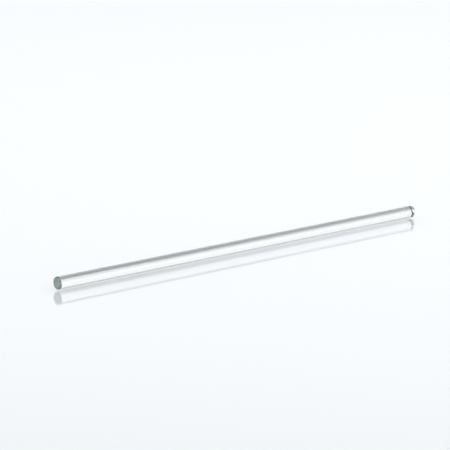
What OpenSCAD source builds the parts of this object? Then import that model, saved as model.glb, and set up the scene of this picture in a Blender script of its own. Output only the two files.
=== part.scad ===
// Glass stirring rod: one solid piece of drawn glass, cut square and fire-polished at both ends.
// It lies along X, with its middle at the origin. The blunt end is at -X and the round end at +X.
// All sizes are in millimetres.

/* [Rod] */
// Overall length, from tip to tip
rod_length = 200; // [60:1:400]
// Diameter of the drawn glass
rod_d = 5; // [4:0.1:12]

/* [Blunt end] */
// Radius that the flame left round the edge of the blunt end
blunt_edge_r = 0.3; // [0.1:0.05:1.3]
// Height of the middle of the blunt end's face above a flat face
blunt_crown = 0.05; // [0.02:0.01:0.7]

/* [Round end] */
// Radius that the flame left round the edge of the round end
round_edge_r = 0.5; // [0.1:0.05:1.3]
// Height of the middle of the round end's face above a flat face
round_crown = 0.15; // [0.02:0.01:0.7]

/* [Glass] */
// Tint of the glass, faintly green as seen along its length
glass_tint = [0.84, 0.93, 0.89]; // [0:0.01:1]
// How solid the glass looks in the preview
glass_alpha = 0.5; // [0.1:0.05:1]

/* [Hidden] */
$fn = 96;
rod_r = rod_d / 2;
// Room that a cutting shape takes beyond the glass it removes
spare = 1;
// Largest rounding that an end can take: it leaves two fifths of the radius to the crowned face
edge_limit = 0.6 * rod_r;

// Radius of the circle that the centre of an end's edge rounding follows
function edge_ring_r(edge_r) = rod_r - edge_r;

// Length of an end, from its tip back to where the rounding meets the straight side
function end_depth(edge_r, crown) = edge_r + crown;

// Radius of the sphere that an end's face is part of: it runs tangent into the edge rounding
function face_r(edge_r, crown) =
    edge_r + (pow(edge_ring_r(edge_r), 2) + pow(crown, 2)) / (2 * crown);

// Angle from the axis at which the face meets the edge rounding
function face_angle(edge_r, crown) =
    asin(edge_ring_r(edge_r) / (face_r(edge_r, crown) - edge_r));

// What lies above the crowned face, in a half section: X is the radius, and the tip is at the origin
module above_face(edge_r, crown) {
    difference() {
        translate([0, -end_depth(edge_r, crown)])
            square([rod_r + spare, end_depth(edge_r, crown) + spare]);
        translate([0, -face_r(edge_r, crown)]) circle(face_r(edge_r, crown));
    }
}

// What lies outside the rounded edge, in the same half section: a wedge from the centre of the
// rounding, between the side of the rod and the face, less the rounding's own circle
module outside_edge(edge_r, crown) {
    top = face_angle(edge_r, crown);
    wedge_r = 2 * edge_r;
    translate([edge_ring_r(edge_r), -end_depth(edge_r, crown)]) difference() {
        polygon([[0, 0], for (a = [90, (90 + top) / 2, top]) wedge_r * [sin(a), cos(a)]]);
        circle(edge_r);
    }
}

// Everything that a square-cut end loses to the flame
module end_waste(edge_r, crown) {
    above_face(edge_r, crown);
    outside_edge(edge_r, crown);
}

// Half section of the rod: the blunt end's tip is at Y = 0, and the round end's at Y = rod_length
module half_section() {
    difference() {
        square([rod_r, rod_length]);
        mirror([0, 1]) end_waste(min(blunt_edge_r, edge_limit), blunt_crown);
        translate([0, rod_length]) end_waste(min(round_edge_r, edge_limit), round_crown);
    }
}

module stirring_rod() {
    color(glass_tint, glass_alpha)
        rotate([0, 90, 0]) translate([0, 0, -rod_length / 2]) rotate_extrude() half_section();
}

stirring_rod();
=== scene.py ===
# %% [markdown]
# # A glass stirring rod
#
# A stirring rod is the plainest tool on a laboratory bench: a length of solid glass, drawn to an
# even thickness, scored and snapped to length, and held in a flame until the sharp ends melt round.
# Nothing about it is hidden, so everything depends on three things: the exact curve of the two ends,
# glass that bends light as real glass does, and surroundings that are worth bending.
#
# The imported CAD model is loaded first. It is the fixed frame: the rod that is shown takes its length,
# its thickness and its place from it. All lengths here are in metres.

# %% Load the frame
import math

import bpy
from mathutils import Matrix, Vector


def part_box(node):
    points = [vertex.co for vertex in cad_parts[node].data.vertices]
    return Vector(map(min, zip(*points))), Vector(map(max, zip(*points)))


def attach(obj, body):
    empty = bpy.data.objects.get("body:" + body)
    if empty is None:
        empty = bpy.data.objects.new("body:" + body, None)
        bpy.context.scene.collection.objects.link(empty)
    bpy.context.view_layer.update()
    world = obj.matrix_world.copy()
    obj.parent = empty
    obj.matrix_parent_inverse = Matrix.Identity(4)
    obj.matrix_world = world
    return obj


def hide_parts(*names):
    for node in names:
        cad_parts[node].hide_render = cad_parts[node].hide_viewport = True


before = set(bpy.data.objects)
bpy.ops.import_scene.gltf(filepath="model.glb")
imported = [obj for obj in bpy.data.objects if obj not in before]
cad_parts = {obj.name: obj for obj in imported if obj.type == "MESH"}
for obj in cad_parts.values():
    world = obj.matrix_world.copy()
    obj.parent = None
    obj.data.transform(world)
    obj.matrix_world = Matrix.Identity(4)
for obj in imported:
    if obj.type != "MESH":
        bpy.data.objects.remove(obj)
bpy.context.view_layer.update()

ROD_NODE = "stirring_rod"
MM = 0.001

rod_low, rod_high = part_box(ROD_NODE)

# %% [markdown]
# The rod lies along X. Its radius and both tips are read from the frame, so they can't drift away
# from the CAD model. What the box of a shape can't tell is how far the flame has rounded each end.
# The end nearest the viewer was melted only a little: its edge is just softened and its face is
# almost flat. The far end stayed in the flame longer, so its edge is rounder and its face domed.

# %% Sizes
ROD_RADIUS = (rod_high[2] - rod_low[2]) / 2
BLUNT_TIP = rod_low[0]
ROUND_TIP = rod_high[0]
BLUNT_EDGE = 0.3 * MM
BLUNT_CROWN = 0.05 * MM
ROUND_EDGE = 0.5 * MM
ROUND_CROWN = 0.15 * MM
print("rod", round((ROUND_TIP - BLUNT_TIP) / MM, 2), "mm long,", round(2 * ROD_RADIUS / MM, 2), "mm thick")


def clear_selection():
    """Leaves nothing selected, in the way a mouse click on the background does."""
    if bpy.context.object and bpy.context.object.mode != "OBJECT":
        bpy.ops.object.mode_set(mode="OBJECT")
    bpy.ops.object.select_all(action="DESELECT")


# %% [markdown]
# ## The outline of the rod
#
# A rod could start as a cylinder whose rims are bevelled, but a bevel ends in a quarter circle and
# leaves a faint crease against a domed face. Glass shows such a crease at once, as a bright ring.
# A melted end has none: surface tension runs the side, the rounded edge and the face into each other.
#
# So the rod is made as a turner would draw it. One half of its outline is drawn from a single point,
# with the same operators that a hand would use, and is then spun round the axis. Each end is two
# arcs that share a tangent. The face is an arc of a large circle, centred on the axis. The edge is an
# arc of a small circle, which touches the face's arc from inside.
#
# Pythagoras gives the large radius: the face rises by the crown over the distance from the axis to
# the centre of the small circle.

# %% Geometry of an end
def end_arcs(edge, crown):
    """Radius of the face's circle, and the angle from the axis at which the edge takes over."""
    ring = ROD_RADIUS - edge
    inner = (ring ** 2 + crown ** 2) / (2 * crown)
    return inner + edge, math.asin(ring / inner)


for name, edge, crown in (("blunt", BLUNT_EDGE, BLUNT_CROWN), ("round", ROUND_EDGE, ROUND_CROWN)):
    face, turn = end_arcs(edge, crown)
    print(name, "end: face radius", round(face / MM, 2), "mm, edge starts at",
          round(math.degrees(turn), 2), "degrees")


# %% [markdown]
# A spin on one selected point leaves an arc of edges behind it, and the point at the end of the arc
# stays selected, ready for the next operator. A positive spin turns clockwise as seen along its
# axis, so here the axis points to -Y. The long side is extruded in steps. The first and the
# last step are short, because smooth shading blends each normal over the faces next to it: with a
# short step at each end, the blend stays there, and the long side reflects as a true cylinder.

# %% Draw half of the outline
FACE_STEPS = 16
EDGE_STEPS = 20
SIDE_STEPS = 40
SHORT_STEP = 0.05 * MM
OUTLINE_AXIS = (0, -1, 0)


def start_point(name, place):
    """One lone point, made from a plane by merging its corners."""
    clear_selection()
    bpy.ops.mesh.primitive_plane_add(size=ROD_RADIUS, location=place)
    piece = bpy.context.object
    piece.name = name
    piece.data.name = name
    bpy.ops.object.transform_apply(location=True, rotation=True, scale=True)
    bpy.ops.object.mode_set(mode="EDIT")
    bpy.ops.mesh.select_mode(type="VERT")
    bpy.ops.mesh.select_all(action="SELECT")
    bpy.ops.mesh.merge(type="CENTER")
    return piece


def draw_arc(centre, angle, steps):
    """Carries the selected point round a centre in the plane of the outline."""
    bpy.ops.mesh.spin(steps=steps, angle=angle, center=centre, axis=OUTLINE_AXIS)


def draw_line(length):
    """Carries the selected point along the rod."""
    bpy.ops.mesh.extrude_region_move(TRANSFORM_OT_translate={"value": (length, 0, 0)})


face_radius, face_turn = end_arcs(BLUNT_EDGE, BLUNT_CROWN)
rod = start_point("glass_rod", (BLUNT_TIP, 0, 0))
draw_arc((BLUNT_TIP + face_radius, 0, 0), face_turn, FACE_STEPS)
blunt_side = BLUNT_TIP + BLUNT_EDGE + BLUNT_CROWN
draw_arc((blunt_side, 0, ROD_RADIUS - BLUNT_EDGE), math.pi / 2 - face_turn, EDGE_STEPS)

round_side = ROUND_TIP - ROUND_EDGE - ROUND_CROWN
side_length = round_side - blunt_side
draw_line(SHORT_STEP)
for step in range(SIDE_STEPS):
    draw_line((side_length - 2 * SHORT_STEP) / SIDE_STEPS)
draw_line(SHORT_STEP)

face_radius, face_turn = end_arcs(ROUND_EDGE, ROUND_CROWN)
draw_arc((round_side, 0, ROD_RADIUS - ROUND_EDGE), math.pi / 2 - face_turn, EDGE_STEPS)
draw_arc((ROUND_TIP - face_radius, 0, 0), face_turn, FACE_STEPS)
rod.update_from_editmode()
outline_end = rod.data.vertices[len(rod.data.vertices) - 1].co
print("outline:", len(rod.data.vertices), "points, from the blunt tip to",
      [round(v / MM, 4) for v in outline_end])

# %% [markdown]
# The whole outline is now spun once round the X axis. The first and the last copy of it lie on each
# other, and all copies of both tips do too, so doubles are merged. A spin can also leave the surface
# inside out, so the normals are recalculated after that.
#
# The number of steps is high for such a small thing. A reflection that runs the whole length of a
# rod shows every flat, and the outline of a coarse one shows corners in a close view.

# %% Spin it into a solid
TURN_STEPS = 192
DOUBLES = 0.0005 * MM


def outward_volume(piece):
    """Volume that a closed mesh encloses: negative if its faces point inwards."""
    total = 0.0
    for face in piece.data.polygons:
        corners = [piece.data.vertices[i].co for i in face.vertices]
        for second, third in zip(corners[1:], corners[2:]):
            total += corners[0].dot(second.cross(third)) / 6
    return total


bpy.ops.mesh.select_all(action="SELECT")
bpy.ops.mesh.spin(steps=TURN_STEPS, angle=2 * math.pi, center=(0, 0, 0), axis=(1, 0, 0))
bpy.ops.mesh.select_all(action="SELECT")
bpy.ops.mesh.remove_doubles(threshold=DOUBLES)
bpy.ops.mesh.normals_make_consistent(inside=False)
bpy.ops.object.mode_set(mode="OBJECT")
bpy.ops.object.shade_smooth()
print("rod mesh:", len(rod.data.vertices), "points,", len(rod.data.polygons), "faces,",
      round(outward_volume(rod) / MM ** 3, 1), "cubic mm")

# %% [markdown]
# ## Writing materials as sums
#
# A material is a graph of nodes, but it reads better as a formula. The class below wraps one output
# socket. Adding, subtracting or multiplying two wrapped sockets adds the Math node that does it, and
# so does a plain number on either side. Every other node comes from one method, which takes the
# node's type, its settings and the values or links of its inputs.

# %% A small language for node graphs
class Wire:
    """One output socket of a node graph, which can be used in sums."""

    def __init__(self, graph, socket):
        self.graph = graph
        self.socket = socket

    def _math(self, operation, first, second):
        return self.graph.node("ShaderNodeMath", {"operation": operation}, {0: first, 1: second})

    def __add__(self, other):
        return self._math("ADD", self, other)

    def __radd__(self, other):
        return self._math("ADD", other, self)

    def __sub__(self, other):
        return self._math("SUBTRACT", self, other)

    def __rsub__(self, other):
        return self._math("SUBTRACT", other, self)

    def __mul__(self, other):
        return self._math("MULTIPLY", self, other)

    def __rmul__(self, other):
        return self._math("MULTIPLY", other, self)


class Graph:
    """A node tree that is filled by formulas."""

    def __init__(self, tree):
        self.tree = tree
        tree.nodes.clear()

    def node(self, kind, settings=None, inputs=None, output=0):
        """Adds a node: settings first, then the value or the link of each input."""
        made = self.tree.nodes.new(kind)
        for key, value in (settings or {}).items():
            if key == "stops":
                self._set_stops(made.color_ramp, value)
            else:
                setattr(made, key, value)
        for key, value in (inputs or {}).items():
            if isinstance(value, Wire):
                self.tree.links.new(value.socket, made.inputs[key])
            else:
                made.inputs[key].default_value = value
        return Wire(self, made.outputs[output]) if made.outputs else made

    def _set_stops(self, ramp, stops):
        # A new stop needs some place, and gets its own one below
        while len(ramp.elements) < len(stops):
            ramp.elements.new(0.5)
        for element, (place, colour) in zip(ramp.elements, stops):
            element.position = place
            element.color = colour


def new_material(name):
    """An empty material and the graph to fill it with."""
    material = bpy.data.materials.new(name)
    material.use_nodes = True
    return material, Graph(material.node_tree)


# %% [markdown]
# ## The glass
#
# Laboratory soda-lime glass bends light by a factor of about 1.52. It looks colourless through its
# thickness, and only along its length does the green of its iron show, because light that enters at
# one end face is trapped by the sides and travels the whole rod. That is a matter of depth, so the
# colour belongs in the volume and not on the surface: a Volume Absorption shader takes a little of
# the red and the blue for each metre travelled.
#
# The surface is not perfectly even. Drawing the glass through a die leaves draw lines, which run
# along the rod and are only a micrometre or two high. Hands leave smudges that dull a patch here
# and there. Both are gone within a few millimetres of the ends, where the flame has melted the
# surface smooth again, so one mask that falls to nothing at the tips is multiplied into both.

# %% Glass
GLASS_IOR = 1.52
GLASS_TINT = (0.30, 0.45, 0.37, 1)
GLASS_DEPTH = 6.4
DRAW_LINE_HEIGHT = 0.002 * MM
DRAW_LINE_GRAIN = (4, 1400, 1400)
SMUDGE_ROUGHNESS = 0.02
SMUDGE_GRAIN = (45, 240, 240)
SMUDGE_STARTS = 0.52
SMUDGE_IS_FULL = 0.74
FLAME_REACH = 6 * MM


def glass():
    """Clear drawn glass with flame-polished ends."""
    material, graph = new_material("clear_drawn_glass")
    place = graph.node("ShaderNodeTexCoord", output="Object")
    along = graph.node("ShaderNodeSeparateXYZ", inputs={0: place}, output="X")
    from_middle = graph.node("ShaderNodeMath", {"operation": "ABSOLUTE"}, {0: along})
    drawn = graph.node("ShaderNodeMapRange", {"interpolation_type": "SMOOTHSTEP"},
                       {"Value": ROUND_TIP - from_middle, "From Min": 0.0, "From Max": FLAME_REACH})

    stretched = graph.node("ShaderNodeMapping", inputs={"Vector": place, "Scale": DRAW_LINE_GRAIN})
    lines = graph.node("ShaderNodeTexNoise", inputs={"Vector": stretched, "Scale": 1.0, "Detail": 3.0})
    bump = graph.node("ShaderNodeBump",
                      inputs={"Height": lines * drawn, "Distance": DRAW_LINE_HEIGHT, "Strength": 1.0})

    patches = graph.node("ShaderNodeMapping", inputs={"Vector": place, "Scale": SMUDGE_GRAIN})
    cloud = graph.node("ShaderNodeTexNoise", inputs={"Vector": patches, "Scale": 1.0, "Detail": 4.0})
    smudge = graph.node("ShaderNodeMapRange", {"interpolation_type": "SMOOTHSTEP"}, {
        "Value": cloud, "From Min": SMUDGE_STARTS, "From Max": SMUDGE_IS_FULL, "To Max": SMUDGE_ROUGHNESS})

    surface = graph.node("ShaderNodeBsdfPrincipled", inputs={
        "Base Color": (1, 1, 1, 1), "Roughness": smudge * drawn, "IOR": GLASS_IOR,
        "Transmission Weight": 1.0, "Normal": bump})
    volume = graph.node("ShaderNodeVolumeAbsorption", inputs={"Color": GLASS_TINT, "Density": GLASS_DEPTH})
    graph.node("ShaderNodeOutputMaterial", inputs={"Surface": surface, "Volume": volume})
    return material


rod.data.materials.append(glass())
print("glass: index", GLASS_IOR, "tint per metre",
      [round(math.exp(-GLASS_DEPTH * (1 - c)), 3) for c in GLASS_TINT[:3]])

# %% [markdown]
# ## The surface it lies on
#
# The rod lies on a glossy white sheet. Such a sheet scatters light in all directions from its white
# body, and on top of that its skin reflects like a mirror, more and more as the view grows flatter.
# The two are added, and not mixed, because the skin takes little from the body. The share of the
# mirror follows the Facing value of a Layer Weight node, which is nothing seen from straight above
# and one seen edge on. A smooth step turns it into a share that is nothing in a steep view, and that
# is nearly level in a flat one, so the sheet stays bright and even from front to back.
#
# The sheet is a hair lower than the rod. A real rod is never perfectly straight, so most of it
# hovers that far above what it lies on, and the dark line between it and its mirror image opens.

# %% Glossy white sheet
SHEET_SIZE = 60.0
SHEET_GAP = 0.42 * MM
SHEET_COLOUR = (0.82, 0.85, 0.86, 1)
SKIN_SHARE = 0.57
SKIN_STARTS = 0.35
SKIN_IS_FULL = 0.9
SKIN_ROUGHNESS = 0.07


def sheet_finish():
    """White body under a glossy skin: where the share of the skin is nothing, only the body shows."""
    material, graph = new_material("glossy_white_sheet")
    facing = graph.node("ShaderNodeLayerWeight", inputs={"Blend": 0.5}, output="Facing")
    share = graph.node("ShaderNodeMapRange", {"interpolation_type": "SMOOTHSTEP"}, {
        "Value": facing, "From Min": SKIN_STARTS, "From Max": SKIN_IS_FULL, "To Max": SKIN_SHARE})
    body = graph.node("ShaderNodeBsdfDiffuse", inputs={"Color": SHEET_COLOUR})
    gloss = graph.node("ShaderNodeBsdfGlossy", inputs={"Color": (1, 1, 1, 1), "Roughness": SKIN_ROUGHNESS})
    both = graph.node("ShaderNodeAddShader", inputs={0: body, 1: gloss})
    finish = graph.node("ShaderNodeMixShader", inputs={0: share, 1: body, 2: both})
    graph.node("ShaderNodeOutputMaterial", inputs={"Surface": finish})
    return material


clear_selection()
bpy.ops.mesh.primitive_plane_add(size=SHEET_SIZE, location=(0, 0, rod_low[2] - SHEET_GAP))
sheet = bpy.context.object
sheet.name = "white_sheet"
sheet.data.materials.append(sheet_finish())
print("sheet lies", round(-sheet.location[2] / MM, 2), "mm under the axis of the rod")

# %% [markdown]
# ## The room
#
# Clear glass has no look of its own: it shows the room, bent. A ray that meets the upper part of the
# rod is bent down to the strip of sheet close behind it, which lies in the rod's own soft shadow, so
# a dark line runs along the top. A ray that meets the lower part comes out almost level and shows the
# white backdrop. Close to the lower edge it climbs to the ceiling, and a second, finer line shows.
#
# The room is a World with a ramp over height. A white backdrop stands all round and reaches a good
# way up, a cool grey wall stands above it, and over that is a dark ceiling. Shadows take their colour
# from whatever still lights them, so the cool wall gives the dark line along the rod a touch of blue.
#
# White glass on white would lose its far end. In a studio, a dark card is stood beside such a piece:
# the rounded edge of the far end looks straight down the rod and out of the near face, so a card on
# that side draws the end dark. Its edge is soft. A Light Path node shows it only to rays that have
# just left the glass, so the sheet and the backdrop stay white from every side.

# %% Backdrop, wall, ceiling and card
BACKDROP = (0.99, 1.0, 1.0, 1)
BACKDROP_TOP = 0.44
WALL = (0.58, 0.60, 0.64, 1)
WALL_TOP = 0.7
CEILING = (0, 0, 0, 1)
SOFT_EDGE = 0.1
CARD = (0.2, 0.2, 0.2, 1)
CARD_EDGE = -0.4
CARD_FULL = -0.8


def room():
    """White backdrop, a cool grey wall above it and a dark ceiling. The glass also sees a dark card."""
    world = bpy.data.worlds.new("studio")
    world.use_nodes = True
    graph = Graph(world.node_tree)
    heading = graph.node("ShaderNodeTexCoord", output="Generated")
    height = graph.node("ShaderNodeSeparateXYZ", inputs={0: heading}, output="Z")
    side = graph.node("ShaderNodeSeparateXYZ", inputs={0: heading}, output="X")
    from_glass = graph.node("ShaderNodeLightPath", output="Is Transmission Ray")
    stops = [(0.0, BACKDROP), (BACKDROP_TOP, BACKDROP), (BACKDROP_TOP + SOFT_EDGE, WALL),
             (WALL_TOP, WALL), (WALL_TOP + SOFT_EDGE, CEILING), (1.0, CEILING)]
    level = graph.node("ShaderNodeValToRGB", {"stops": stops}, {0: height})
    bright = graph.node("ShaderNodeBackground", inputs={"Color": level, "Strength": 1.0})
    dark = graph.node("ShaderNodeBackground", inputs={"Color": CARD, "Strength": 1.0})
    card = graph.node("ShaderNodeMapRange", {"interpolation_type": "SMOOTHSTEP"},
                      {"Value": side, "From Min": CARD_EDGE, "From Max": CARD_FULL})
    light = graph.node("ShaderNodeMixShader", inputs={0: card * from_glass, 1: bright, 2: dark})
    graph.node("ShaderNodeOutputWorld", inputs={"Surface": light})
    return world


bpy.context.scene.world = room()
print("backdrop reaches", round(math.degrees(math.asin(BACKDROP_TOP))), "degrees up, and the wall",
      round(math.degrees(math.asin(WALL_TOP))), "degrees")

# %% [markdown]
# Two round soft boxes light the sheet. Both stand on the camera's side and high up, so that the rod's
# shadow falls behind it, where the upper edge of the glass shows it. They stand apart, one toward
# each end of the rod, so that the shadow is soft and even along the whole length.

# %% Soft boxes
def direction(turn, rise):
    """One metre in the direction of a turn from +X round Z and a rise from level, both in degrees."""
    turn, rise = math.radians(turn), math.radians(rise)
    return Vector((math.cos(rise) * math.cos(turn), math.cos(rise) * math.sin(turn), math.sin(rise)))


def soft_box(name, turn, rise, distance, size, power):
    """A round area lamp that faces the middle of the rod."""
    clear_selection()
    toward = direction(turn, rise)
    bpy.ops.object.light_add(type="AREA", location=toward * distance)
    lamp = bpy.context.object
    lamp.name = name
    lamp.data.shape = "DISK"
    lamp.data.size = size
    lamp.data.energy = power
    lamp.rotation_euler = toward.to_track_quat("Z", "Y").to_euler()
    lamp.visible_camera = False
    return lamp


key_box = soft_box("key_box", turn=235, rise=44, distance=1.5, size=0.5, power=2.5)
right_box = soft_box("right_box", turn=315, rise=44, distance=1.5, size=0.5, power=1.8)
for box in (key_box, right_box):
    print(box.name, "stands", round(box.location.z, 2), "m high, at", round(box.data.energy, 1), "W")

# %% [markdown]
# ## The camera
#
# The camera stands well back with a long lens, low over the sheet and at about 45 degrees to the
# rod, so that the near end shows its face and the far end its side. It could be placed by its own
# coordinates, but those say little to a reader. Here it is placed as a hand in a studio would do
# it: a point to aim at, a direction to look in, and a step back along that line.

# %% Camera
CAMERA_AIM = Vector((-12.2 * MM, 0, 9.8 * MM))
CAMERA_TURN = 45.6
CAMERA_DIP = 11.4
CAMERA_DISTANCE = 0.974
LENS = 196
SENSOR_WIDTH = 36
NEAREST_SIGHT = 0.01
FARTHEST_SIGHT = 200


def camera():
    """A long lens, level from side to side."""
    clear_selection()
    sight = direction(CAMERA_TURN, -CAMERA_DIP)
    bpy.ops.object.camera_add(location=CAMERA_AIM - sight * CAMERA_DISTANCE)
    made = bpy.context.object
    made.name = "camera"
    made.rotation_euler = sight.to_track_quat("-Z", "Y").to_euler()
    made.data.sensor_width = SENSOR_WIDTH
    made.data.lens = LENS
    made.data.clip_start = NEAREST_SIGHT
    made.data.clip_end = FARTHEST_SIGHT
    return made


bpy.context.scene.camera = camera()
print("camera stands", [round(v, 3) for v in bpy.context.scene.camera.location], "with a", LENS, "mm lens")

# %% [markdown]
# Light that enters the near face bounces from side to side down the whole rod. With the usual limit
# of a dozen bounces, each of those paths would end black, so the limit is raised until the paths
# come out at the other end on their own.

# %% Render settings
BOUNCES = 512
scene = bpy.context.scene
scene.view_settings.view_transform = "Standard"
scene.cycles.max_bounces = BOUNCES
scene.cycles.glossy_bounces = BOUNCES
scene.cycles.transmission_bounces = BOUNCES
print("light may bounce", BOUNCES, "times")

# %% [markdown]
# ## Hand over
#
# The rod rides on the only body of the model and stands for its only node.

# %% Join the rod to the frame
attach(rod, "root")
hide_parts(ROD_NODE)
